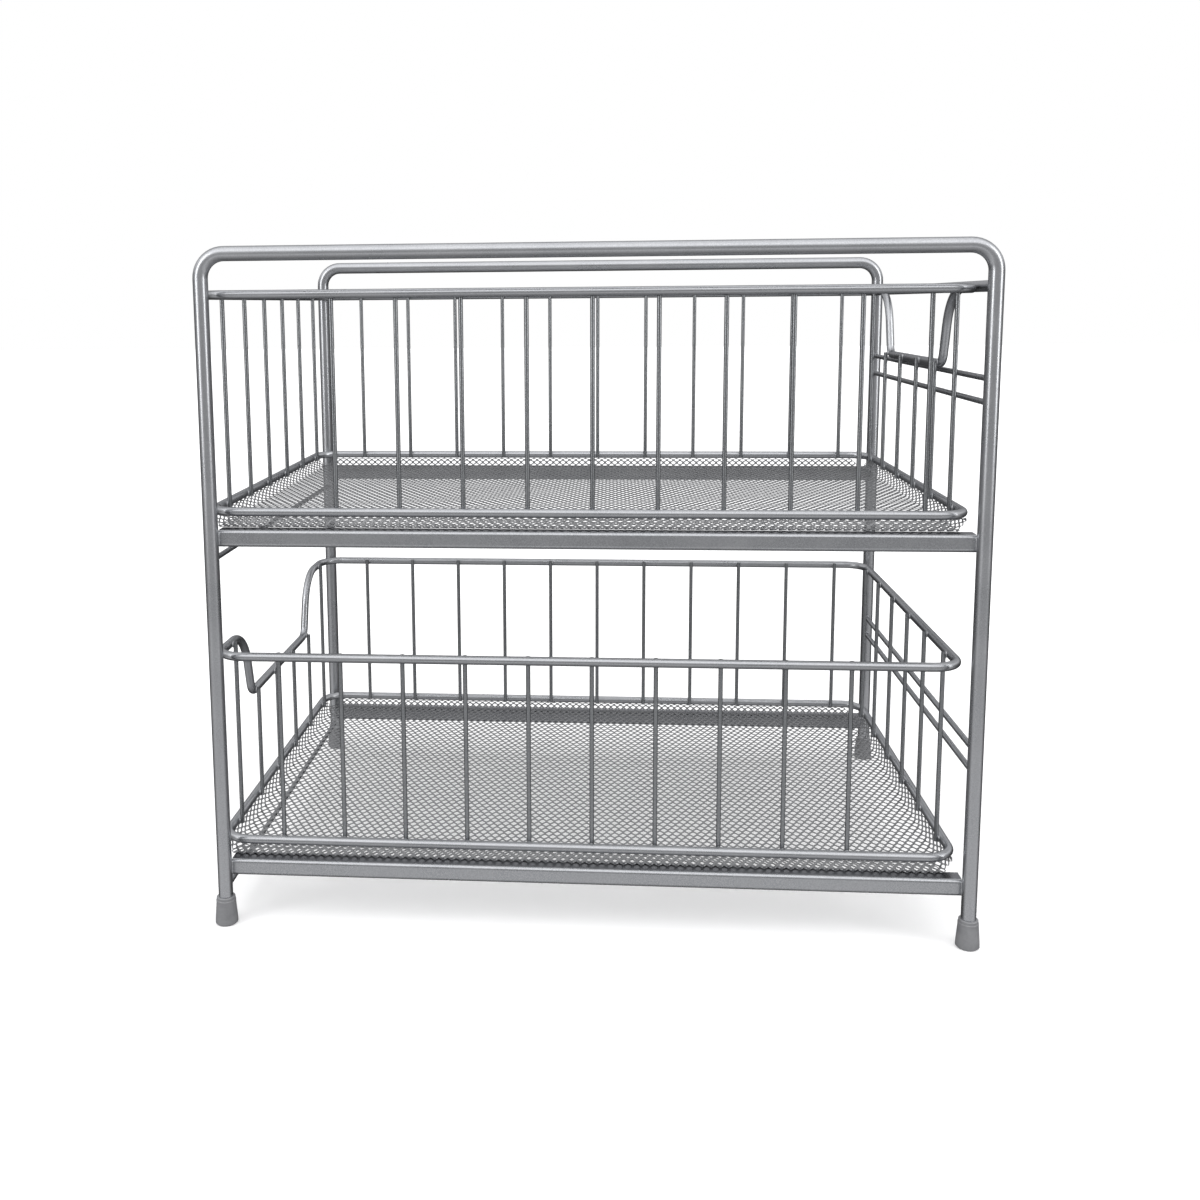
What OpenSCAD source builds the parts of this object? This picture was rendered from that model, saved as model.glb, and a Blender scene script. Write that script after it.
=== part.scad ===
// Two-tier organizer shelf: a welded tube frame with two sliding wire baskets.
// X runs along the baskets, front (pull-out) end at -X. Z is up, origin on the floor
// under the middle of the frame. The right side is -Y, as seen by someone at the front.

/* [Frame] */
// Distance between front and back posts, centre to centre
post_span = 411; // [340:1:480]
// Distance between right and left posts, centre to centre
post_width = 280; // [230:1:340]
// Outer diameter of the frame tube
tube_d = 8; // [6:0.5:10]
// Wall of the frame tube
tube_wall = 0.8; // [0.5:0.1:1.2]
// Bend radius of the arch corners, to the tube's centre line
arch_bend = 13; // [9:0.5:24]
// Free height between the upper rim and the top tube
top_clear = 15; // [8:0.5:40]

/* [Rails] */
// Height of the lower rails' bottom edge above the floor
rail_floor = 27; // [25:0.5:50]
// Height of the rail's square tube
rail_h = 9.5; // [7:0.5:14]
// Width of the rail's square tube
rail_w = 11; // [10.5:0.5:16]
// Wall of the rail's tube
rail_wall = 1; // [0.6:0.1:1.4]
// Corner radius of the rail's tube
rail_bend = 2; // [1.5:0.1:3]
// How far the rail's face sits inboard of the post centres
rail_set = 2.5; // [1:0.25:2.75]
// Free height between the lower rim and the upper rails
tier_clear = 61.5; // [40:0.5:90]

/* [Cross bars] */
// Diameter of the tube across the back at the top
back_bar_d = 6; // [5:0.5:8]
// Wall of the tube across the back
back_bar_wall = 0.7; // [0.5:0.1:1]
// How far the back tube lies above the upper rim's wire
back_bar_lift = 1; // [-10:0.5:4]
// Diameter of the stop rods behind each basket
stop_d = 3.2; // [2.4:0.2:4]
// How far the stop rods sit inboard of the post centres
stop_set = 1; // [0:0.25:1.5]
// Spacing of the two stop rods of a tier
stop_pitch = 12.4; // [8:0.2:18]
// Height of the lower stop rod above the rail, upper tier
upper_stop_lift = 69; // [40:0.5:74]
// Height of the lower stop rod above the rail, lower tier
lower_stop_lift = 62; // [40:0.5:66]
// Diameter of the rod across the front, under each basket
brace_d = 3; // [2.4:0.2:4]
// How far the front rods lie below the rails
brace_drop = 7; // [5:0.5:8]

/* [Feet] */
// Diameter of the foot cap at its rim
foot_top_d = 11; // [10.4:0.1:12]
// Diameter of the foot cap near the floor
foot_d = 12.6; // [12:0.1:15]
// Height of the foot cap
foot_h = 16; // [12:0.5:17]
// Thickness of the foot cap's floor
foot_floor = 2; // [1.2:0.2:4]
// Edge break at the bottom of the foot cap
foot_edge = 0.8; // [0.4:0.1:1.4]
// Depth of the moulded line round the foot cap
foot_line = 0.3; // [0.1:0.05:0.4]
// Height of the lip above the moulded line
foot_lip = 2; // [1:0.1:3]

/* [Baskets] */
// Height of the upper basket, ring centre to rim centre
upper_basket_h = 118.5; // [95:0.5:140]
// Height of the lower basket, ring centre to rim centre
lower_basket_h = 107.5; // [95:0.5:130]
// How far a basket's front end stands past the front post centres
front_proud = 6.25; // [0:0.25:8]
// Gap between a basket and the posts on each side
side_clear = 3.5; // [2:0.25:8]
// Diameter of the rim and ring wire
rim_d = 5; // [4:0.25:6]
// Corner radius of rim and ring, to the wire's centre line
basket_bend = 15; // [10:0.5:24]
// Diameter of the upright wires
wire_d = 2.5; // [2:0.1:3.2]
// Spacing of the upright wires along the sides
wire_pitch = 35.2; // [28:0.2:44]
// Distance from the handle end to the first side wire, upper basket
upper_wire_first = 24.5; // [24:0.5:40]
// Distance from the handle end to the first side wire, lower basket
lower_wire_first = 37.5; // [24:0.5:40]
// Spacing of the upright wires across the ends
end_pitch = 42; // [28:0.5:44]
// Distance from a side to the first end wire
end_first = 27; // [24:0.5:44]
// How far the upright wires run past the rim and ring centres
wire_past = 1.4; // [0.5:0.1:1.6]

/* [Handle dip] */
// Depth of the dip in the rim that serves as the handle
dip_depth = 42; // [30:0.5:50]
// Width of the dip's bottom, between its corners
dip_low_w = 130; // [100:1:140]
// Radius of the bends where the dip leaves the rim, to the wire's centre line
dip_top_bend = 28; // [12:0.5:34]
// Radius of the bends at the dip's bottom, to the wire's centre line
dip_low_bend = 8; // [6:0.5:10]

/* [Tray] */
// Depth of the tray's floor below the ring's centre
tray_drop = 8.7; // [7:0.1:12]
// Thickness of the tray's sheet
tray_t = 0.8; // [0.6:0.1:1.2]
// Length of one diamond opening of the net, along X
cell_x = 30; // [26:0.5:40]
// Width of one diamond opening of the net, along Y
cell_y = 24.5; // [22:0.5:34]
// Width of the strands between openings
strand_w = 2; // [1.6:0.1:4]
// Plain border left round the net
net_border = 4; // [3:0.5:8]

/* [Fits] */
// Running gap between a basket and what it slides on or stops against
slide_gap = 0.3; // [0.2:0.05:0.6]
// Gap left at butted and welded pieces
weld_gap = 0.04; // [0.02:0.01:0.08]

/* [Hidden] */
$fn = 48;

steel_colour = [0.62, 0.63, 0.65];
wire_colour = [0.58, 0.59, 0.61];
net_colour = [0.66, 0.67, 0.69];
foot_colour = [0.52, 0.52, 0.55];

post_x = post_span / 2;
post_y = post_width / 2;

// Levels, from the floor up.
lower_rail_top = rail_floor + rail_h;
lower_ring_z = lower_rail_top + slide_gap + tray_drop;
lower_rim_z = lower_ring_z + lower_basket_h;
upper_rail_z = lower_rim_z + rim_d / 2 + tier_clear;
upper_rail_top = upper_rail_z + rail_h;
upper_ring_z = upper_rail_top + slide_gap + tray_drop;
upper_rim_z = upper_ring_z + upper_basket_h;
arch_top_z = upper_rim_z + rim_d / 2 + top_clear + tube_d / 2;
back_bar_z = upper_rim_z + back_bar_lift;

// The baskets' plan, between the posts and in front of the stop rods and the back tube.
basket_front = -post_x - front_proud;
basket_back = post_x - stop_set - stop_d / 2 - slide_gap;
back_bar_x = basket_back + slide_gap + back_bar_d / 2;
basket_len = basket_back - basket_front;
basket_mid = (basket_front + basket_back) / 2;
basket_w = post_width - tube_d - 2 * side_clear;
half_l = basket_len / 2 - rim_d / 2;
half_w = basket_w / 2 - rim_d / 2;

// Upright wires stand against the inside of the rim and ring.
wire_in = rim_d / 2 + wire_d / 2 + weld_gap;
corner_keep = basket_bend + rim_d + wire_d;
end_n = floor((basket_w - 2 * end_first) / end_pitch);

// The dip's legs lean seven along for every twenty-four down.
dip_lean = 7 / 24;
dip_top_w = dip_low_w + 2 * dip_lean * dip_depth;

// The tray's hem hangs from the underside of the ring.
hem_l = half_l + tray_t / 2;
hem_w = half_w + tray_t / 2;
hem_r = basket_bend + tray_t / 2;
hem_top = rim_d / 2 + weld_gap;

rail_mid = post_y - rail_set - rail_w / 2;
rail_len = post_span - 2 * (sqrt(pow(tube_d / 2, 2) - pow(rail_set, 2)) + weld_gap);

function unit(v) = v / norm(v);
function columns(x, y, z, p) = [
    [x[0], y[0], z[0], p[0]],
    [x[1], y[1], z[1], p[1]],
    [x[2], y[2], z[2], p[2]],
    [0, 0, 0, 1]];
function across(d) = unit(cross(abs(d[2]) < 0.9 ? [0, 0, 1] : [1, 0, 0], d));

// Round section, solid when the wall is 0.
module section(d, wall) {
    difference() {
        circle(d = d);
        if (wall > 0) circle(d = d - 2 * wall);
    }
}

// Straight run of wire or tube from p to q.
module run(p, q, d, wall = 0) {
    z = unit(q - p);
    x = across(z);
    multmatrix(columns(x, cross(z, x), z, p))
        linear_extrude(norm(q - p)) section(d, wall);
}

// Bend of radius r at corner b, from direction u into direction v, trimmed square where it ends.
module bend(b, u, v, r, d, wall = 0) {
    n = unit(v - (v * u) * u);
    turn = acos(u * v);
    reach = r * tan(turn / 2);
    x = across(v);
    difference() {
        multmatrix(columns(-n, u, cross(-n, u), b - reach * u + r * n))
            rotate_extrude(angle = turn + 5) translate([r, 0]) section(d, wall);
        multmatrix(columns(x, cross(v, x), v, b + reach * v))
            translate([-d, -d, 0]) cube(2 * d);
    }
}

// Wire or tube bent along corner points, each with its own bend radius.
module bent(pts, rad, d, wall = 0, closed = false) {
    n = len(pts);
    function way(i) = unit(pts[(i + 1) % n] - pts[i]);
    function into(i) = way((i + n - 1) % n);
    function cut(i) = !closed && (i == 0 || i == n - 1) ? 0 : rad[i] * tan(acos(into(i) * way(i)) / 2);
    for (i = [0 : closed ? n - 1 : n - 2])
        run(pts[i] + cut(i) * way(i), pts[(i + 1) % n] - cut((i + 1) % n) * way(i), d, wall);
    for (i = [closed ? 0 : 1 : closed ? n - 1 : n - 2])
        bend(pts[i], into(i), way(i), rad[i], d, wall);
}

// Rectangle of half sizes a and b with corners of radius r.
module round_plan(a, b, r) {
    square([2 * a - 2 * r, 2 * b], center = true);
    square([2 * a, 2 * b - 2 * r], center = true);
    for (sx = [-1, 1], sy = [-1, 1])
        translate([sx * (a - r), sy * (b - r)]) circle(r = r);
}

// Inverted U of tube; side is -1 on the right and 1 on the left.
module arch(side) {
    foot_z = foot_floor + weld_gap;
    color(steel_colour)
        bent([[-post_x, side * post_y, foot_z], [-post_x, side * post_y, arch_top_z],
              [post_x, side * post_y, arch_top_z], [post_x, side * post_y, foot_z]],
             [0, arch_bend, arch_bend, 0], tube_d, tube_wall);
}
module right_arch() { arch(-1); }
module left_arch() { arch(1); }

// Square tube between two posts, its top the runner that the tray slides on.
module rail(side, z) {
    color(steel_colour)
        translate([-rail_len / 2, side * rail_mid, z + rail_h / 2])
            rotate([90, 0, 90])
                linear_extrude(rail_len)
                    difference() {
                        round_plan(rail_w / 2, rail_h / 2, rail_bend);
                        round_plan(rail_w / 2 - rail_wall, rail_h / 2 - rail_wall, rail_bend - rail_wall);
                    }
}
module upper_right_rail() { rail(-1, upper_rail_z); }
module upper_left_rail() { rail(1, upper_rail_z); }
module lower_right_rail() { rail(-1, rail_floor); }
module lower_left_rail() { rail(1, rail_floor); }

// Bar across the frame at x and z, its ends shaped round the posts at end_x.
module cross_bar(x, z, d, wall, end_x) {
    color(steel_colour)
        difference() {
            run([x, -post_y, z], [x, post_y, z], d, wall);
            for (s = [-1, 1])
                translate([end_x, s * post_y, z - 2 * d])
                    cylinder(d = tube_d + 2 * weld_gap, h = 4 * d);
        }
}
module back_top_bar() { cross_bar(back_bar_x, back_bar_z, back_bar_d, back_bar_wall, post_x); }
module stop_rod(z) { cross_bar(post_x - stop_set, z, stop_d, 0, post_x); }
module upper_stop_high() { stop_rod(upper_rail_top + upper_stop_lift + stop_pitch); }
module upper_stop_low() { stop_rod(upper_rail_top + upper_stop_lift); }
module lower_stop_high() { stop_rod(lower_rail_top + lower_stop_lift + stop_pitch); }
module lower_stop_low() { stop_rod(lower_rail_top + lower_stop_lift); }
module front_brace(z) { cross_bar(-post_x, z - brace_drop, brace_d, 0, -post_x); }
module upper_front_brace() { front_brace(upper_rail_z); }
module lower_front_brace() { front_brace(rail_floor); }

// Moulded cap that takes the end of a post, flared to the floor.
module foot(x, y) {
    bore = tube_d / 2 + weld_gap;
    line_z = foot_h - foot_lip;
    top_r = foot_top_d / 2;
    low_r = foot_d / 2;
    color(foot_colour)
        translate([x, y, 0])
            difference() {
                rotate_extrude()
                    polygon([[0, 0], [low_r - foot_edge, 0], [low_r, foot_edge],
                             [low_r, 3 * foot_edge], [top_r, line_z - 2 * foot_edge],
                             [top_r, line_z], [top_r - foot_line, line_z + foot_line],
                             [top_r - foot_line, foot_h - foot_line], [top_r - 2 * foot_line, foot_h],
                             [0, foot_h]]);
                translate([0, 0, foot_floor]) cylinder(r = bore, h = foot_h);
            }
}
module front_right_foot() { foot(-post_x, -post_y); }
module front_left_foot() { foot(-post_x, post_y); }
module back_right_foot() { foot(post_x, -post_y); }
module back_left_foot() { foot(post_x, post_y); }

// A basket is drawn with its handle end at -X; the upper one is set in the other way round.
module seat(turned) {
    translate([basket_mid, 0, 0])
        if (turned) mirror([1, 0, 0]) children();
        else children();
}

// Rim bent from one wire, with the handle dip in its end.
module rim(turned, z) {
    a = half_l;
    b = half_w;
    color(wire_colour)
        seat(turned)
            bent([[a, -b, z], [a, b, z], [-a, b, z], [-a, dip_top_w / 2, z],
                  [-a, dip_low_w / 2, z - dip_depth], [-a, -dip_low_w / 2, z - dip_depth],
                  [-a, -dip_top_w / 2, z], [-a, -b, z]],
                 [basket_bend, basket_bend, basket_bend, dip_top_bend,
                  dip_low_bend, dip_low_bend, dip_top_bend, basket_bend], rim_d, 0, true);
}
// Plain ring that carries the tray.
module ring(turned, z) {
    a = half_l;
    b = half_w;
    color(wire_colour)
        seat(turned)
            bent([[a, -b, z], [a, b, z], [-a, b, z], [-a, -b, z]],
                 [for (i = [0 : 3]) basket_bend], rim_d, 0, true);
}
// One upright wire between two levels.
module upright(x, y, low, high) {
    run([x, y, low - wire_past], [x, y, high + wire_past], wire_d);
}
// Wires of a long side, from the handle end; the right side leaves its last place open.
module side_wires(turned, side, first, low, high) {
    places = floor((basket_len - first - corner_keep) / wire_pitch) + 1;
    color(wire_colour)
        seat(turned)
            for (i = [1 : side < 0 ? places - 1 : places])
                upright(-basket_len / 2 + first + (i - 1) * wire_pitch,
                        side * (half_w - wire_in), low, high);
}
// Wires of an end; at the handle end those under the dip stop at its bottom.
module end_wires(turned, handle, low, high) {
    color(wire_colour)
        seat(turned)
            for (i = [0 : end_n]) {
                y = (i - end_n / 2) * end_pitch;
                dipped = handle && abs(y) < dip_low_w / 2;
                upright((handle ? -1 : 1) * (half_l - wire_in), y,
                        low, high - (dipped ? dip_depth : 0));
            }
}
// Folded-up edge of the tray, from its floor to the ring.
module hem(turned, z) {
    color(net_colour)
        seat(turned)
            translate([0, 0, z - tray_drop])
                linear_extrude(tray_drop - hem_top)
                    difference() {
                        round_plan(hem_l, hem_w, hem_r);
                        round_plan(hem_l - tray_t, hem_w - tray_t, hem_r - tray_t);
                    }
}
// Floor of the tray: a sheet opened into staggered diamonds inside a plain border.
module net(turned, z) {
    a = hem_l - tray_t - weld_gap;
    b = hem_w - tray_t - weld_gap;
    field_x = 2 * (a - net_border);
    field_y = 2 * (b - net_border);
    nx = floor(field_x / cell_x);
    ny = floor(field_y / cell_y);
    step_x = field_x / nx / 2;
    step_y = field_y / ny / 2;
    thin = strand_w / 2 * norm([step_x, step_y]);
    open_x = step_x - thin / step_y;
    open_y = step_y - thin / step_x;
    color(net_colour)
        seat(turned)
            translate([0, 0, z - tray_drop])
                linear_extrude(tray_t)
                    difference() {
                        round_plan(a, b, hem_r - tray_t - weld_gap);
                        intersection() {
                            square([field_x, field_y], center = true);
                            for (i = [-nx : nx], j = [-ny : ny])
                                if ((i + j + nx + ny) % 2 == 1)
                                    translate([i * step_x, j * step_y])
                                        polygon([[-open_x, 0], [0, -open_y], [open_x, 0], [0, open_y]]);
                        }
                    }
}

module upper_rim() { rim(true, upper_rim_z); }
module upper_ring() { ring(true, upper_ring_z); }
module upper_right_wires() { side_wires(true, -1, upper_wire_first, upper_ring_z, upper_rim_z); }
module upper_left_wires() { side_wires(true, 1, upper_wire_first, upper_ring_z, upper_rim_z); }
module upper_front_wires() { end_wires(true, false, upper_ring_z, upper_rim_z); }
module upper_back_wires() { end_wires(true, true, upper_ring_z, upper_rim_z); }
module upper_hem() { hem(true, upper_ring_z); }
module upper_net() { net(true, upper_ring_z); }
module lower_rim() { rim(false, lower_rim_z); }
module lower_ring() { ring(false, lower_ring_z); }
module lower_right_wires() { side_wires(false, -1, lower_wire_first, lower_ring_z, lower_rim_z); }
module lower_left_wires() { side_wires(false, 1, lower_wire_first, lower_ring_z, lower_rim_z); }
module lower_front_wires() { end_wires(false, true, lower_ring_z, lower_rim_z); }
module lower_back_wires() { end_wires(false, false, lower_ring_z, lower_rim_z); }
module lower_hem() { hem(false, lower_ring_z); }
module lower_net() { net(false, lower_ring_z); }

right_arch();
left_arch();
upper_right_rail();
upper_left_rail();
lower_right_rail();
lower_left_rail();
back_top_bar();
upper_stop_high();
upper_stop_low();
lower_stop_high();
lower_stop_low();
upper_front_brace();
lower_front_brace();
front_right_foot();
front_left_foot();
back_right_foot();
back_left_foot();
upper_rim();
upper_ring();
upper_right_wires();
upper_left_wires();
upper_front_wires();
upper_back_wires();
upper_hem();
upper_net();
lower_rim();
lower_ring();
lower_right_wires();
lower_left_wires();
lower_front_wires();
lower_back_wires();
lower_hem();
lower_net();
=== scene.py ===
"""Two-tier organizer shelf: a silver tube frame with two sliding wire baskets on diamond-mesh trays.

All lengths are in metres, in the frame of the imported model: X along the baskets, Z up, floor at 0.
"""

import bpy
import numpy as np
from mathutils import Matrix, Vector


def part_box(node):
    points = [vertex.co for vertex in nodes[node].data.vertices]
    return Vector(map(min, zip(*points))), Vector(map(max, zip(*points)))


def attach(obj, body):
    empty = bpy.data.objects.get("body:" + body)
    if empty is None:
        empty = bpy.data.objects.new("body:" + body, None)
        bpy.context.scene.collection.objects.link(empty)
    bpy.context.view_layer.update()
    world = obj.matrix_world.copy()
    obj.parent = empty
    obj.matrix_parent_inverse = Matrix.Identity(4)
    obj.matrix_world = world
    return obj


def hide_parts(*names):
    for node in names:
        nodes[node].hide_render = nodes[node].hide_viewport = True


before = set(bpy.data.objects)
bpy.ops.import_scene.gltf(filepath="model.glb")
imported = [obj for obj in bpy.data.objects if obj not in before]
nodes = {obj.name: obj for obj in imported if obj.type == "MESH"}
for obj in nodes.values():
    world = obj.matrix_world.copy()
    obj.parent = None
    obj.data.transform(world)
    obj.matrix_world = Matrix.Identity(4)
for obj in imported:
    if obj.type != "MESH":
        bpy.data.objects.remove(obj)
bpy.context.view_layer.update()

TIERS = ("upper", "lower")

# Frame and basket sizes, the same as in the part's source.
POST_X, POST_Y, POST_R = 0.2055, 0.140, 0.004
RAIL_FACE_Y, RAIL_END_X = 0.1375, 0.2023
ROD_R, BRACE_R, BACK_TUBE_R = 0.0016, 0.0015, 0.003
RIM_R, WIRE_PITCH = 0.0025, 0.0352
RIGHT_WIRES, LEFT_WIRES, END_WIRES = 10, 11, 6
WIRE_FIRST = {"upper": 0.0245, "lower": 0.0375}
END_PITCH, DIP_HALF, DIP_DEPTH = 0.042, 0.065, 0.042
DIP_BEND, DIP_BEND_START = 0.008, 0.059

# Weld fillets: how far they run along a rod, how much wider than the rod they start, how deep they are
# sunk in, and the share of a post's half width that their feet keep to. Weld beads: radius, distance from
# the rail's edges, and how deep their line lies. A fillet's radius wavers by the share WELD_WAVER, and
# from one weld to the next the waver turns by WELD_LAG.
FILLET_REACH, FILLET_FLARE, FILLET_BURY, POST_FLANK = 0.0026, 0.0007, 0.0001, 0.95
BEAD_R, BEAD_INSET, BEAD_SINK = 0.0008, 0.0006, 0.0002
WELD_WAVER, WELD_LAG = 0.05, 1.7

# Painted shade on the rails' inner half, where the tray's shadow falls: where it begins, and over what
# width.
RAIL_SHADE_Y, SHADE_EDGE = 0.1352, 0.0012

# Diamond mesh of the trays: pitch across and along the cells, length of the bond between two slits, width
# of a strand, thickness of the sheet, and how far the strands are tilted out of it. A bond is wider than a
# strand by BOND_GAIN. A cell has six corners, and corners of neighbouring cells that agree to half a micron
# are one.
MESH_SHORT, MESH_LONG = 0.00485, 0.0085
MESH_BOND, MESH_STRAND, MESH_SHEET, MESH_TILT = 0.0016, 0.00094, 0.00036, 0.00004
BOND_GAIN, CORNERS, MERGE_PER_METRE = 1.5, 6, 2e6

# Trays: radius of the turned-up edge; where the end and side flaps stand at the fold, outside the ring's
# own line or inside it, and how far they lean back in towards that line at the top; how much the press
# squeezes the cells of a flap and widens their strands; the lowest opening left under a flap's top edge;
# and how much a flap is cut back at its ends, at the fold and for every unit of height.
TRAY_FOLD, TRAY_FLARE, TRAY_LEAN = 0.0014, np.array([-0.0044, 0.0006]), np.array([-0.0040, 0.0010])
FLAP_SQUEEZE, FLAP_STRAND, FLAP_SLIVER = 0.5, 1.3, 0.0003
FLAP_CUT, FLAP_TAPER = 0.0020, 0.7
FLOOR, END_FLAP, SIDE_FLAP = 0, 1, 2


def box(node):
    """Lowest and highest corner of a node, as arrays."""
    low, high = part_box(node)
    return np.array(low), np.array(high)


# Finishes

def finish_tree(name):
    """A new node material, with its tree, its Principled shader and the piece's own coordinates."""
    mat = bpy.data.materials.new(name)
    mat.use_nodes = True
    tree = mat.node_tree
    tree.nodes.clear()
    out = tree.nodes.new("ShaderNodeOutputMaterial")
    shader = tree.nodes.new("ShaderNodeBsdfPrincipled")
    tree.links.new(shader.outputs["BSDF"], out.inputs["Surface"])
    place = tree.nodes.new("ShaderNodeTexCoord")
    return mat, tree, shader, place.outputs["Object"]


def grain(tree, where, scale, detail=2.0, rough=0.5):
    """Noise over the piece's own coordinates; scale is in grains per metre."""
    n = tree.nodes.new("ShaderNodeTexNoise")
    n.inputs["Scale"].default_value = scale
    n.inputs["Detail"].default_value = detail
    n.inputs["Roughness"].default_value = rough
    tree.links.new(where, n.inputs["Vector"])
    return n.outputs["Fac"]


def spread(tree, fac, low, high, a, b):
    """Noise between low and high turned into a number from a to b."""
    n = tree.nodes.new("ShaderNodeMapRange")
    for socket, value in (("From Min", low), ("From Max", high), ("To Min", a), ("To Max", b)):
        n.inputs[socket].default_value = value
    tree.links.new(fac, n.inputs["Value"])
    return n.outputs["Result"]


def shades(tree, fac, low, dark, high, light):
    """Noise turned into a shade between two colours."""
    n = tree.nodes.new("ShaderNodeValToRGB")
    n.color_ramp.elements[0].position, n.color_ramp.elements[0].color = low, (*dark, 1)
    n.color_ramp.elements[1].position, n.color_ramp.elements[1].color = high, (*light, 1)
    tree.links.new(fac, n.inputs["Fac"])
    return n.outputs["Color"]


def blend_shades(tree, fac, a, b, kind="MIX"):
    """Two shades mixed by a number or a noise."""
    n = tree.nodes.new("ShaderNodeMix")
    n.data_type, n.blend_type = "RGBA", kind
    if isinstance(fac, float):
        n.inputs["Factor"].default_value = fac
    else:
        tree.links.new(fac, n.inputs["Factor"])
    tree.links.new(a, n.inputs["A"])
    tree.links.new(b, n.inputs["B"])
    return n.outputs["Result"]


def relief(tree, shader, *layers):
    """Fine relief: each layer is (noise, strength, depth in metres), one on top of the other."""
    under = None
    for fac, strength, depth in layers:
        n = tree.nodes.new("ShaderNodeBump")
        n.inputs["Strength"].default_value = strength
        n.inputs["Distance"].default_value = depth
        tree.links.new(fac, n.inputs["Height"])
        if under is not None:
            tree.links.new(under, n.inputs["Normal"])
        under = n.outputs["Normal"]
    tree.links.new(under, shader.inputs["Normal"])


def silver_coat(name, dark, light, rough, flake=1500.0, peel=0.10, painted_shade_inside=None, edge=0.5, metal=0.92,
                binder=0.5, lacquer=0.12):
    """Silver stove enamel on steel: metal flakes that sparkle from grain to grain, faint cloudiness
    along the tube, and the slight orange peel of a sprayed coat. The inner distance, when given, is the
    distance from the shelf's middle, in Y, inside which the coat is painted darker as shade, for the tray's
    shadow on the rails' inner half; edge is how much of its shine the coat keeps where it is seen edge on;
    metal is how much of it is flake and not binder, binder is the binder's own shine, and lacquer how much
    clear lacquer lies over it all."""
    mat, tree, shader, where = finish_tree(name)
    flakes = grain(tree, where, flake, 1.0)
    clouds = grain(tree, where, 34.0, 3.0)
    base = shades(tree, flakes, 0.30, dark, 0.72, light)
    tone = shades(tree, clouds, 0.25, (0.90, 0.90, 0.91), 0.75, (1.0, 1.0, 1.0))
    coat = blend_shades(tree, 1.0, base, tone, "MULTIPLY")
    # Painted shade: inside the given distance in Y the coat's colour is darkened to 0.48, standing in for
    # the tray's shadow on the rails' inner half.
    if painted_shade_inside is not None:
        split = tree.nodes.new("ShaderNodeSeparateXYZ")
        tree.links.new(where, split.inputs["Vector"])
        away = tree.nodes.new("ShaderNodeMath")
        away.operation = "ABSOLUTE"
        tree.links.new(split.outputs["Y"], away.inputs[0])
        unshaded = spread(tree, away.outputs["Value"], painted_shade_inside, painted_shade_inside + SHADE_EDGE, 0.0, 1.0)
        painted_shade_tone = shades(tree, unshaded, 0.0, (0.48, 0.48, 0.49), 1.0, (1.0, 1.0, 1.0))
        coat = blend_shades(tree, 1.0, coat, painted_shade_tone, "MULTIPLY")
    tree.links.new(coat, shader.inputs["Base Color"])
    gloss = spread(tree, clouds, 0.25, 0.75, rough - 0.035, rough + 0.045)
    tree.links.new(gloss, shader.inputs["Roughness"])
    relief(tree, shader, (grain(tree, where, 420.0, 2.0), peel, 0.0002), (flakes, peel * 0.6, 0.00006))
    shader.inputs["Metallic"].default_value = metal
    shader.inputs["Specular Tint"].default_value = (edge, edge, edge * 1.02, 1)
    shader.inputs["Specular IOR Level"].default_value = binder
    shader.inputs["Coat Weight"].default_value = lacquer
    shader.inputs["Coat Roughness"].default_value = 0.22
    return mat


def moulded_grey(name):
    """Grey moulded plastic of the foot caps: matt, with a fine spark-eroded grain and slight scuffs."""
    mat, tree, shader, where = finish_tree(name)
    fine = grain(tree, where, 2200.0, 2.0)
    scuffs = grain(tree, where, 160.0, 4.0, 0.65)
    base = shades(tree, scuffs, 0.30, (0.200, 0.202, 0.210), 0.75, (0.270, 0.272, 0.280))
    tree.links.new(base, shader.inputs["Base Color"])
    tree.links.new(spread(tree, scuffs, 0.3, 0.7, 0.42, 0.58), shader.inputs["Roughness"])
    relief(tree, shader, (fine, 0.18, 0.0001), (scuffs, 0.08, 0.0004))
    shader.inputs["Specular IOR Level"].default_value = 0.5
    return mat


TUBE_COAT = silver_coat("silver_tube_coat", (0.48, 0.49, 0.505), (0.58, 0.59, 0.605), rough=0.28,
                        peel=0.05, edge=0.4)
# The rails' coat carries painted shade on its inner half.
RAIL_COAT = silver_coat("silver_rail_coat", (0.45, 0.46, 0.475), (0.55, 0.56, 0.575), rough=0.27,
                        flake=1300.0, peel=0.13, painted_shade_inside=RAIL_SHADE_Y)
WIRE_COAT = silver_coat("silver_wire_coat", (0.45, 0.46, 0.475), (0.55, 0.56, 0.575), rough=0.27,
                        flake=1700.0, peel=0.05, edge=0.3)
WELD_COAT = silver_coat("silver_weld_coat", (0.46, 0.47, 0.48), (0.64, 0.65, 0.66), rough=0.38,
                        flake=1100.0, peel=0.30)
# Painted shade: the upright wires are the same silver wire as the rims, with the coat's colour made darker
# for the shade they show.
UPRIGHT_SHADED_COAT = silver_coat("silver_upright_shaded_coat", (0.27, 0.28, 0.29), (0.36, 0.37, 0.38), rough=0.26,
                           flake=1700.0, peel=0.05, edge=0.12)
MESH_COAT = silver_coat("silver_mesh_coat", (0.33, 0.335, 0.34), (0.50, 0.505, 0.515), rough=0.36,
                        flake=1900.0, peel=0.08, edge=0.15, metal=0.72, binder=0.1, lacquer=0.0)
FOOT_GREY = moulded_grey("moulded_grey")


# Surfaces

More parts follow.
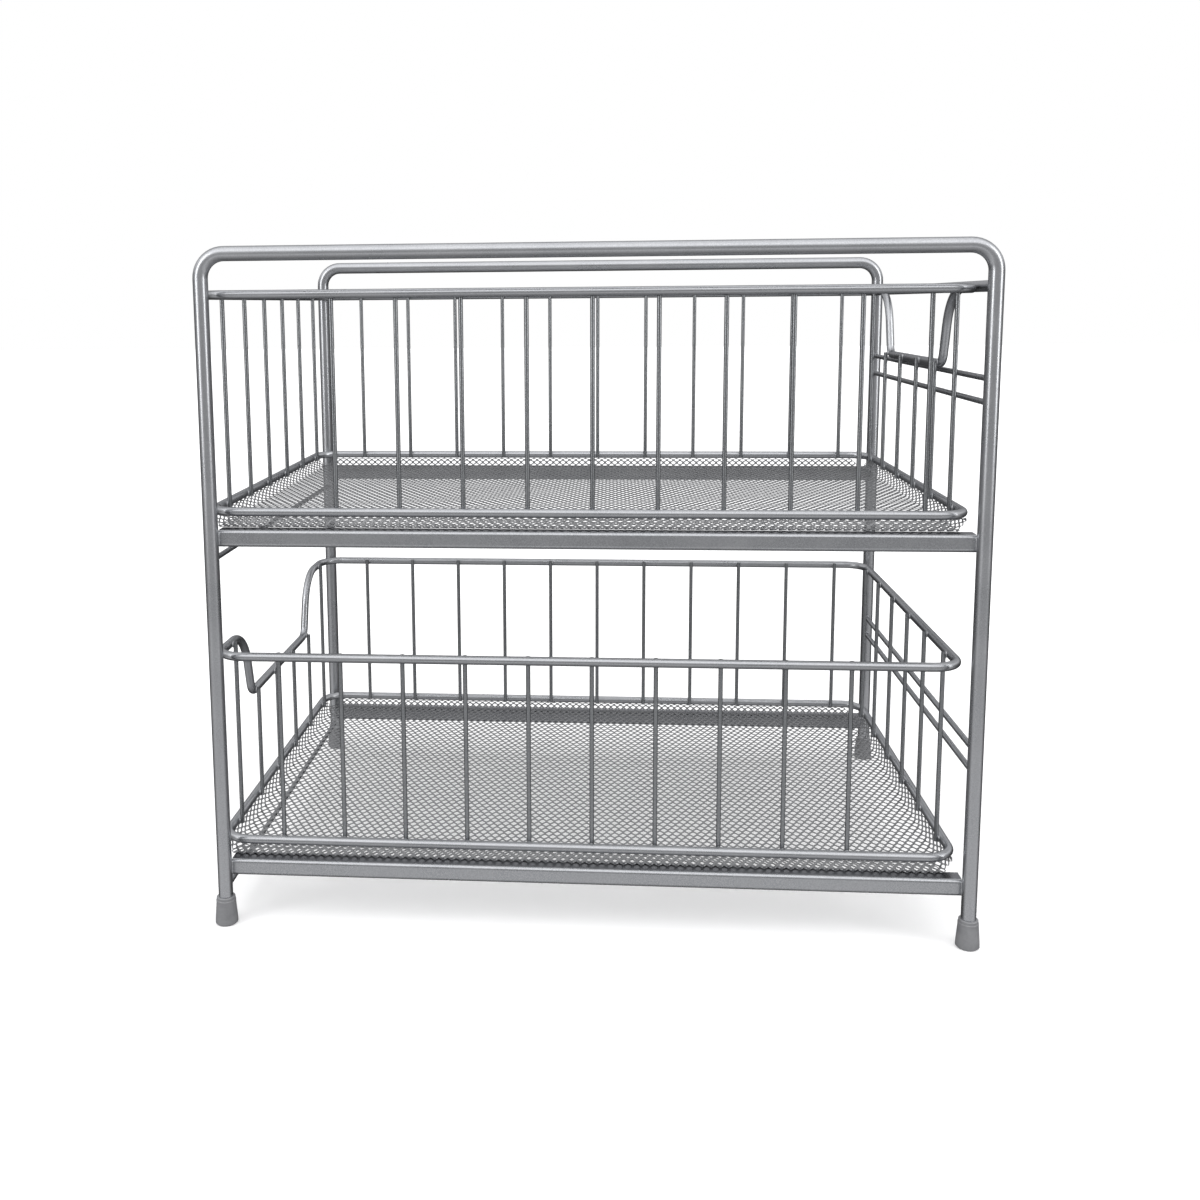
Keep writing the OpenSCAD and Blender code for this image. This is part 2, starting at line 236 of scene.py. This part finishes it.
def piece(name, points, quads, coat, body, slot, smooth=True):
    """A mesh from an array of points and an array of four-sided faces; it rides on one body."""
    mesh = bpy.data.meshes.new(name)
    mesh.vertices.add(len(points))
    mesh.vertices.foreach_set("co", np.asarray(points, np.float32).ravel())
    mesh.loops.add(quads.size)
    mesh.loops.foreach_set("vertex_index", np.asarray(quads, np.int32).ravel())
    mesh.polygons.add(len(quads))
    mesh.polygons.foreach_set("loop_start", np.arange(0, quads.size, 4, dtype=np.int32))
    mesh.polygons.foreach_set("use_smooth", np.full(len(quads), smooth))
    mesh.update(calc_edges=True)
    mesh.validate()
    mesh.materials.append(coat)
    made = bpy.data.objects.new(name, mesh)
    bpy.context.scene.collection.objects.link(made)
    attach(made, body)
    return made


def grid_quads(rows, cols, loop_rows, loop_cols):
    """Faces of a grid of points, joined up with itself where a direction is a closed loop."""
    i = np.arange(rows if loop_rows else rows - 1)[:, None]
    j = np.arange(cols if loop_cols else cols - 1)[None, :]
    i2, j2 = (i + 1) % rows, (j + 1) % cols
    return np.stack([i * cols + j, i * cols + j2, i2 * cols + j2, i2 * cols + j], -1).reshape(-1, 4)


def many(points, quads):
    """The same grid at several places: points is (places, grid points, 3)."""
    shift = np.arange(len(points))[:, None, None] * points.shape[1]
    return points.reshape(-1, 3), (quads[None] + shift).reshape(-1, 4)


def tube_quads(rows, cols):
    """Faces of a tube of points, an even number round it, closed by a strip of faces across each end."""
    k = np.arange(cols // 2 - 1)
    cap = np.stack([k, k + 1, cols - 2 - k, cols - 1 - k], -1)
    return np.concatenate([grid_quads(rows, cols, False, True), cap[:, ::-1], cap + (rows - 1) * cols])


def post_skin(off):
    """Distance from the shelf's middle, in Y, to a round post's skin, at the distance off to its side."""
    return POST_Y - np.sqrt(POST_R ** 2 - off ** 2)


def collars(x, z, wire_r, steps=6, turns=20):
    """Weld fillets at both ends of a rod that runs across between two round posts. Each is a profile turned
    about the rod: at t from 0 to 1 along the rod its radius is wire_r + flare * (1 - t) squared, with a
    slight three-lobed waver, and flare is small enough to stay on the post. Its foot follows the post's
    round skin, just under it, and its top closes just inside the rod."""
    t = np.linspace(0, 1, steps)[None, :, None]
    a = np.linspace(0, 2 * np.pi, turns, endpoint=False)[None, None, :]
    end = np.array([-1.0, 1.0])[:, None, None]
    off = x - np.sign(x) * POST_X
    flare = min(FILLET_FLARE, POST_FLANK * POST_R - abs(off) - wire_r)
    waver = 1 + WELD_WAVER * np.sin(3 * a + WELD_LAG * end) * (1 - t)
    radius = (wire_r + flare * (1 - t) ** 2) * waver - FILLET_BURY * (t == 1)
    across = off + radius * np.cos(a)
    foot = post_skin(across) + FILLET_BURY
    top = post_skin(off) - FILLET_REACH
    y = end * (foot + (top - foot) * t)
    points = np.stack([across - off + x, y, z + end * radius * np.sin(a)], -1)
    return many(points.reshape(2, -1, 3), tube_quads(steps, turns))


def flashes(spots, along, across, out, oval=(0.0015, 0.0012), thick=0.00045, swell=0.25, steps=12, turns=6):
    """Metal squeezed out where two crossing wires are pressed together and fused: a thin round section
    carried round an oval that lies between them, thick * (1 + swell * sin of twice the turn) in radius."""
    spots, along, across, out = (np.asarray(x, float) for x in (spots, along, across, out))
    t = np.linspace(0, 2 * np.pi, steps, endpoint=False)[None, :, None]
    c = np.linspace(0, 2 * np.pi, turns, endpoint=False)
    line = along[:, None] * np.cos(t) * oval[0] + across[:, None] * np.sin(t) * oval[1]
    way = along[:, None] * np.cos(t) + across[:, None] * np.sin(t)
    lag = WELD_LAG * np.arange(len(spots))[:, None, None]
    r = (thick * (1 + swell * np.sin(2 * t + lag)))[:, :, None]
    section = np.cos(c)[:, None] * way[:, :, None] + np.sin(c)[:, None] * out[:, None, None]
    points = (spots[:, None] + line)[:, :, None] + r * section
    return many(points.reshape(len(spots), -1, 3), grid_quads(steps, turns, True, True))


def beads(starts, ends, outs, radius, swell=0.14, drops=6, blunt=0.2, steps=23, turns=10):
    """Run weld beads: half-buried rods from start to end whose radius swells and narrows like a row of
    overlapping drops, radius * (1 - swell + swell * |sin|), and rounds off towards both ends, where the
    share blunt of it is left."""
    starts, ends, outs = (np.asarray(x, float) for x in (starts, ends, outs))
    t = np.linspace(0, 1, steps)
    a = np.linspace(0, 2 * np.pi, turns, endpoint=False)
    row = 1 - swell + swell * np.abs(np.sin(t * np.pi * drops))
    r = radius * row * np.maximum(np.sqrt(1 - (2 * t - 1) ** 6), blunt)
    line = starts[:, None] + t[None, :, None] * (ends - starts)[:, None]
    way = ends - starts
    way = way / np.linalg.norm(way, axis=1, keepdims=True)
    side = np.cross(way, outs)
    ring = np.cos(a)[None, :, None] * outs[:, None] + np.sin(a)[None, :, None] * side[:, None]
    points = line[:, :, None] + r[None, :, None, None] * ring[:, None]
    return many(points.reshape(len(starts), -1, 3), tube_quads(steps, turns))


def joined(*parts):
    """Several (points, faces) sets as one."""
    points, quads, at = [], [], 0
    for p, q in parts:
        points.append(p)
        quads.append(q + at)
        at += len(p)
    return np.concatenate(points), np.concatenate(quads)


# Trays

def diamond(strand):
    """One cell of drawn-open sheet metal: the hexagon left when a row of slits is pulled open, long way
    along Y, short way along X, its flat sides the bonds between slits. Returned are the outer hexagon that
    tiles the sheet, and the opening, set in by half a strand along the slants and more along the bonds."""
    s, b, w = MESH_SHORT / 2, MESH_BOND / 2, strand / 2
    tip = MESH_LONG / 2 - b
    outer = np.array([[0, tip], [-s, b], [-s, -b], [0, -tip], [s, -b], [s, b]])
    n = np.array([tip - b, s]) / np.hypot(tip - b, s)
    edge = n[1] * tip - w
    flat = s - BOND_GAIN * w
    y_tip, y_flat = edge / n[1], (edge - n[0] * flat) / n[1]
    inner = np.array([[0, y_tip], [-flat, y_flat], [-flat, -y_flat],
                      [0, -y_tip], [flat, -y_flat], [flat, y_flat]])
    return outer, inner


def cell_centres(reach_x, reach_y):
    """Centres of the staggered cells, to a little past the reach on every side."""
    short, long = MESH_SHORT / 2, MESH_LONG / 2
    i = np.arange(-int(reach_x / short) - 2, int(reach_x / short) + 3)
    j = np.arange(-int(reach_y / long) - 2, int(reach_y / long) + 3)
    gi, gj = np.meshgrid(i, j, indexing="ij")
    keep = (gi + gj) % 2 == 0
    return np.stack([gi[keep] * short, gj[keep] * long], -1)


def fold_up(xy, lift, kind, a, b, height, limit):
    """The flat sheet folded into a tray. Its corners are notched, so an end flap turns up along X only and
    a side flap along Y only; the floor follows whichever flap it meets and stays flat in the notches, where
    its corners stand out. Past a fold line the sheet, its cells squeezed by FLAP_SQUEEZE, turns up through
    a quarter circle of radius TRAY_FOLD and then runs up, leaning in by TRAY_LEAN over its height. lift
    moves a point along the sheet's own normal."""
    past = np.abs(xy) - np.array([a, b])
    kind = kind[:, None, None]
    alone = (past > 0) & (past[..., ::-1] <= 0) & (kind == FLOOR)
    turned = alone | (kind == np.array([END_FLAP, SIDE_FLAP]))
    out = turned * np.where(xy < 0, -1.0, 1.0)
    over = np.clip((past * turned).max(-1) * FLAP_SQUEEZE, 0, limit)
    turn = np.minimum(over / TRAY_FOLD, np.pi / 2)
    up = TRAY_FOLD * (1 - np.cos(turn)) + np.maximum(over - TRAY_FOLD * np.pi / 2, 0)
    reach = TRAY_FOLD * np.sin(turn) - (turned * TRAY_LEAN).sum(-1) * up / height
    plan = xy - out * np.maximum(past, 0) + out * reach[..., None]
    normal = np.concatenate([-out * np.sin(turn)[..., None], np.cos(turn)[..., None]], -1)
    return np.concatenate([plan, up[..., None]], -1) + lift[..., None] * normal


def mesh_sheet(centres, kind, strand, fold, trim):
    """Cells as solid sheet metal: top ring, bottom ring and the wall of each opening, with walls along
    every cut edge. Points that neighbouring cells share are merged. A cell's points are its outer corners,
    then those of its opening, on top and then once more below."""
    n, inside, under = len(centres), CORNERS, 2 * CORNERS
    outer, inner = diamond(strand)
    flat = centres[:, None] + np.concatenate([outer, inner])[None]
    half = MESH_SHEET / 2
    tilt = np.concatenate([np.zeros(CORNERS), np.sign(inner[:, 0]) * MESH_TILT])
    limit = np.concatenate([np.full(CORNERS, trim), np.full(CORNERS, trim - MESH_STRAND)])
    limit = np.broadcast_to(limit, (n, under))
    top = fold(flat, np.broadcast_to(half + tilt, (n, under)), kind, limit)
    low = fold(flat, np.broadcast_to(-half + tilt, (n, under)), kind, limit)
    points = np.concatenate([top, low], 1)
    k = np.arange(CORNERS)
    k2 = (k + 1) % CORNERS
    upper = np.stack([k, k2, k2 + inside, k + inside], -1)
    wall = np.stack([k, k2, k2 + under, k + under], -1) + inside
    cell = np.concatenate([upper, upper[:, ::-1] + under, wall])
    start = (np.arange(n) * 2 * under)[:, None, None]
    quads = (cell[None] + start).reshape(-1, 4)
    rims = (np.stack([k, k2], -1)[None] + start).reshape(-1, 2)
    rounded = np.round(points.reshape(-1, 3) * MERGE_PER_METRE).astype(np.int64)
    _, first, same = np.unique(rounded, axis=0, return_index=True, return_inverse=True)
    same = same.ravel()
    merged = points.reshape(-1, 3)[first]
    ends = np.sort(same[rims], -1)
    _, at, count = np.unique(ends, axis=0, return_index=True, return_counts=True)
    cut = rims[at[count == 1]]
    walls = np.stack([cut[:, 1], cut[:, 0], cut[:, 0] + under, cut[:, 1] + under], -1)
    quads = same[np.concatenate([quads, walls])]
    whole = (np.diff(np.sort(quads, -1), axis=-1) > 0).all(-1)
    return merged, quads[whole]


def tray(tier):
    """One basket's mesh tray: the floor, and the flaps turned up from it to the underside of the ring."""
    body = f"{tier}_basket"
    low, high = box(f"{tier}_hem")
    mid = (low + high) / 2
    a, b = (high - low)[:2] / 2 + TRAY_FLARE - TRAY_FOLD
    base = low[2] + MESH_SHEET / 2 + MESH_TILT
    height = high[2] - base
    limit = TRAY_FOLD * np.pi / 2 + height - TRAY_FOLD
    shift = np.array([mid[0], mid[1], base])

    def fold(xy, lift, kind, stop):
        return fold_up(xy, lift, kind, a, b, height, stop) + shift

    flap_strand = MESH_STRAND * FLAP_STRAND
    centres = cell_centres(a + 2 * limit, b + 2 * limit)
    past = np.abs(centres) - np.array([a, b])
    top = (limit - MESH_STRAND - FLAP_SLIVER) / FLAP_SQUEEZE + np.abs(diamond(flap_strand)[1]).max(0)
    ends = -FLAP_CUT - FLAP_TAPER * FLAP_SQUEEZE * past
    flap = (past > 0) & (past < top) & (past[:, ::-1] < ends)
    floor = (past <= 0).all(-1)
    kind = np.where(flap[:, 0], END_FLAP, SIDE_FLAP)
    level = mesh_sheet(centres[floor], np.full(floor.sum(), FLOOR), MESH_STRAND, fold, limit)
    floor_net = piece(f"{tier}_tray_floor", *level, MESH_COAT, body, "tray_mesh", smooth=False)
    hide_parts(f"{tier}_net")
    raised = flap.any(-1)
    upright = mesh_sheet(centres[raised], kind[raised], flap_strand, fold, limit)
    flaps = piece(f"{tier}_tray_flaps", *upright, MESH_COAT, body, "tray_mesh", smooth=False)
    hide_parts(f"{tier}_hem")


for tier in TIERS:
    tray(tier)


# Welds

def basket_welds(tier):
    """Weld flash where the upright wires of one basket meet its rim and ring."""
    low, high = box(f"{tier}_ring")
    mid = (low + high) / 2
    rim_z = box(f"{tier}_rim")[1][2] - RIM_R
    half_x, half_y = (high - low)[:2] / 2 - 2 * RIM_R
    handle = 1.0 if tier == "upper" else -1.0
    first = -(high[0] - low[0]) / 2 + WIRE_FIRST[tier]
    right, left = (-handle * (first + WIRE_PITCH * np.arange(count)) for count in (RIGHT_WIRES, LEFT_WIRES))
    across = (np.arange(END_WIRES) - (END_WIRES - 1) / 2) * END_PITCH
    plan = np.concatenate([
        np.stack([right, np.full(RIGHT_WIRES, -half_y)], -1),
        np.stack([left, np.full(LEFT_WIRES, half_y)], -1),
        np.stack([np.full(END_WIRES, handle * half_x), across], -1),
        np.stack([np.full(END_WIRES, -handle * half_x), across], -1)])
    sides = RIGHT_WIRES + LEFT_WIRES
    out = np.zeros((len(plan), 3))
    out[:sides, 1] = np.sign(plan[:sides, 1])
    out[sides:, 0] = np.sign(plan[sides:, 0])
    over = np.clip(np.abs(across) - DIP_BEND_START, 0, DIP_BEND)
    dipped = DIP_DEPTH - DIP_BEND + np.sqrt(DIP_BEND ** 2 - over ** 2)
    tops = np.full(len(plan), rim_z)
    tops[sides:sides + END_WIRES] -= np.where(np.abs(across) < DIP_HALF, dipped, 0)
    plan = plan + mid[:2]
    spots = np.concatenate([np.c_[plan, np.full(len(plan), mid[2])], np.c_[plan, tops]])
    out = np.concatenate([out, out])
    up = np.tile([0, 0, 1.0], (len(out), 1))
    points, quads = flashes(spots, up, np.cross(up, out), out)
    piece(f"{tier}_wire_welds", points, quads, WELD_COAT, body=f"{tier}_basket", slot="basket_wire")


for tier in TIERS:
    basket_welds(tier)


def frame_welds():
    """Fillets at the ends of the rods and the back tube, and run beads at the ends of the rails."""
    rods = []
    for name, r in (("upper_stop_high", ROD_R), ("upper_stop_low", ROD_R),
                    ("lower_stop_high", ROD_R), ("lower_stop_low", ROD_R),
                    ("upper_front_brace", BRACE_R), ("lower_front_brace", BRACE_R),
                    ("back_top_bar", BACK_TUBE_R)):
        x, _, z = sum(box(name)) / 2
        rods.append(collars(x, z, r))
    piece("rod_welds", *joined(*rods), WELD_COAT, "frame", "frame_steel")
    starts, ends, outs = [], [], []
    for tier in TIERS:
        low, high = box(f"{tier}_right_rail")
        for sx in (-1, 1):
            for sy in (-1, 1):
                at = [sx * RAIL_END_X, sy * (RAIL_FACE_Y - BEAD_SINK)]
                starts.append([*at, low[2] + BEAD_INSET])
                ends.append([*at, high[2] - BEAD_INSET])
                outs.append([0, sy, 0])
    piece("rail_welds", *beads(starts, ends, outs, BEAD_R), WELD_COAT, "frame", "frame_steel")


frame_welds()


# Finishes on the carried-over nodes

def dress(names, coat):
    """One coat on several carried-over nodes."""
    for name in names:
        slots = nodes[name].data.materials
        slots.clear()
        slots.append(coat)


dress([n for n in nodes if n.endswith("arch") or n == "back_top_bar"], TUBE_COAT)
dress([n for n in nodes if n.endswith("rail")], RAIL_COAT)
dress([n for n in nodes if "stop" in n or "brace" in n or n.endswith(("rim", "ring"))], WIRE_COAT)
# The uprights get the coat with painted shade.
dress([n for n in nodes if n.endswith("wires")], UPRIGHT_SHADED_COAT)
dress([n for n in nodes if n.endswith("foot")], FOOT_GREY)
dress([n for n in nodes if n.endswith(("hem", "net"))], MESH_COAT)


# Studio

def stage_piece(name, points, quads, mat):
    """A floor or backdrop from points and faces; it isn't part of the shelf."""
    mesh = bpy.data.meshes.new(name)
    mesh.from_pydata(points.tolist(), [], quads.tolist())
    mesh.materials.append(mat)
    made = bpy.data.objects.new(name, mesh)
    bpy.context.scene.collection.objects.link(made)
    return made


def paper(name, tone, glow):
    """White studio paper with a faint tooth; glow lifts it as the spill of other lamps would."""
    mat, tree, shader, where = finish_tree(name)
    tooth = grain(tree, where, 60.0, 3.0)
    white = shades(tree, tooth, 0.2, (tone * 0.99,) * 3, 0.8, (tone,) * 3)
    tree.links.new(white, shader.inputs["Base Color"])
    shader.inputs["Roughness"].default_value = 0.9
    shader.inputs["Specular IOR Level"].default_value = 0.0
    shader.inputs["Emission Color"].default_value = (1, 1, 1, 1)
    shader.inputs["Emission Strength"].default_value = glow
    return mat


def studio():
    """A white floor and a white surround that only the camera sees, so the coat mirrors the lamps and the
    darker room instead; soft light from above, fills from both sides."""
    reach, lines, radius, slices, bands, steepest = 9, 7, 12, 48, 24, 1.5
    ticks = np.linspace(-reach, reach, lines)
    u, v = np.meshgrid(ticks, ticks, indexing="ij")
    floor = stage_piece("floor", np.stack([u, v, np.zeros_like(u)], -1).reshape(-1, 3),
                        grid_quads(lines, lines, False, False), paper("floor_paper", 0.8, 0.27))
    floor.visible_glossy = floor.visible_diffuse = False
    around = np.linspace(0, 2 * np.pi, slices, endpoint=False)
    a, e = np.meshgrid(around, np.linspace(-steepest, steepest, bands), indexing="ij")
    shell = np.stack([np.cos(a) * np.cos(e), np.sin(a) * np.cos(e), np.sin(e)], -1) * radius
    surround = stage_piece("surround", shell.reshape(-1, 3), grid_quads(slices, bands, True, False),
                           paper("surround_paper", 0.0, 1.0))
    surround.visible_glossy = surround.visible_diffuse = surround.visible_shadow = False
    surround.visible_transmission = surround.visible_volume_scatter = False

    world = bpy.data.worlds.new("room")
    bpy.context.scene.world = world
    world.use_nodes = True
    tree = world.node_tree
    tree.nodes.clear()
    out = tree.nodes.new("ShaderNodeOutputWorld")
    sky = tree.nodes.new("ShaderNodeBackground")
    tree.links.new(sky.outputs["Background"], out.inputs["Surface"])
    way = tree.nodes.new("ShaderNodeTexCoord")
    split = tree.nodes.new("ShaderNodeSeparateXYZ")
    tree.links.new(way.outputs["Generated"], split.inputs["Vector"])
    rise = spread(tree, split.outputs["Z"], -1, 1, 0, 1)

    def levels(*marks):
        """Brightness of the room by height: marks are (sine of the elevation, brightness)."""
        ramp = tree.nodes.new("ShaderNodeValToRGB")
        stops = ramp.color_ramp.elements
        while len(stops) < len(marks):
            stops.new(0.5)
        for stop, (sine, value) in zip(stops, marks):
            stop.position, stop.color = (sine + 1) / 2, (value, value, value * 1.012, 1)
        tree.links.new(rise, ramp.inputs["Fac"])
        return ramp.outputs["Color"]

    front = levels((-1.0, 0.26), (-0.60, 0.54), (-0.44, 0.78), (-0.33, 0.60), (-0.19, 0.24), (-0.09, 0.40),
                   (0.04, 0.32), (0.34, 0.46), (0.50, 1.50), (0.75, 1.60), (1.0, 1.25))
    behind = levels((-1.0, 0.14), (-0.50, 0.06), (-0.12, 0.07), (0.04, 0.18), (0.14, 0.45), (0.25, 0.92),
                    (0.35, 0.95), (0.60, 0.55), (0.85, 0.70), (1.0, 1.25))
    facing = spread(tree, split.outputs["Y"], -0.30, 0.30, 0.0, 1.0)
    tree.links.new(blend_shades(tree, facing, front, behind), sky.inputs["Color"])

    def hang(name, light, spot, aim):
        """A lamp at one spot, turned to shine at another."""
        made = bpy.data.objects.new(name, light)
        bpy.context.scene.collection.objects.link(made)
        back = np.array(spot, float) - np.array(aim, float)
        back /= np.linalg.norm(back)
        right = np.cross([0, 1, 0] if abs(back[2]) > 0.9 else [0, 0, 1], back)
        right /= np.linalg.norm(right)
        turn = np.eye(4)
        turn[:3, 0], turn[:3, 1], turn[:3, 2], turn[:3, 3] = right, np.cross(back, right), back, spot
        made.matrix_world = Matrix(turn.tolist())
        return made

    key = bpy.data.lights.new("key", "SUN")
    key.energy, key.angle = 1.0, 1.1
    hang("key", key, (-0.15, -0.20, 2.0), (0, 0, 0)).visible_glossy = False
    for name, spot in (("left_fill", (-1.5, -1.3, 0.72)), ("right_fill", (1.7, -0.9, 0.72))):
        panel = bpy.data.lights.new(name, "AREA")
        panel.shape, panel.size, panel.size_y, panel.energy = "RECTANGLE", 0.65, 1.3, 8.5
        hang(name, panel, spot, (0, 0, 0.2))


studio()


def camera():
    """The photograph's viewpoint: picture size, focal length and middle in pixels, the eye, and the
    directions of the picture's right, down and forward."""
    size, focal, cx, cy = 1200, 1221.692, 512.141, 469.010
    eye, sensor = (0.012138, -0.780553, 0.347886), 36.0
    right, down, ahead = np.array([[0.996730, 0.080355, -0.008463],
                                   [0.002404, -0.134193, -0.990952],
                                   [-0.080763, 0.987692, -0.133948]])
    data = bpy.data.cameras.new("camera")
    data.sensor_width = sensor
    data.lens = focal / size * sensor
    data.shift_x, data.shift_y = (size / 2 - cx) / size, (cy - size / 2) / size
    data.clip_start, data.clip_end = 0.01, 50
    made = bpy.data.objects.new("camera", data)
    bpy.context.scene.collection.objects.link(made)
    pose = np.eye(4)
    pose[:3, 0], pose[:3, 1], pose[:3, 2] = right, -down, -ahead
    pose[:3, 3] = eye
    made.matrix_world = Matrix(pose.tolist())
    bpy.context.scene.camera = made


camera()

view = bpy.context.scene.view_settings
view.view_transform, view.look = "Standard", "None"
view.exposure, view.gamma = 0.0, 1.0
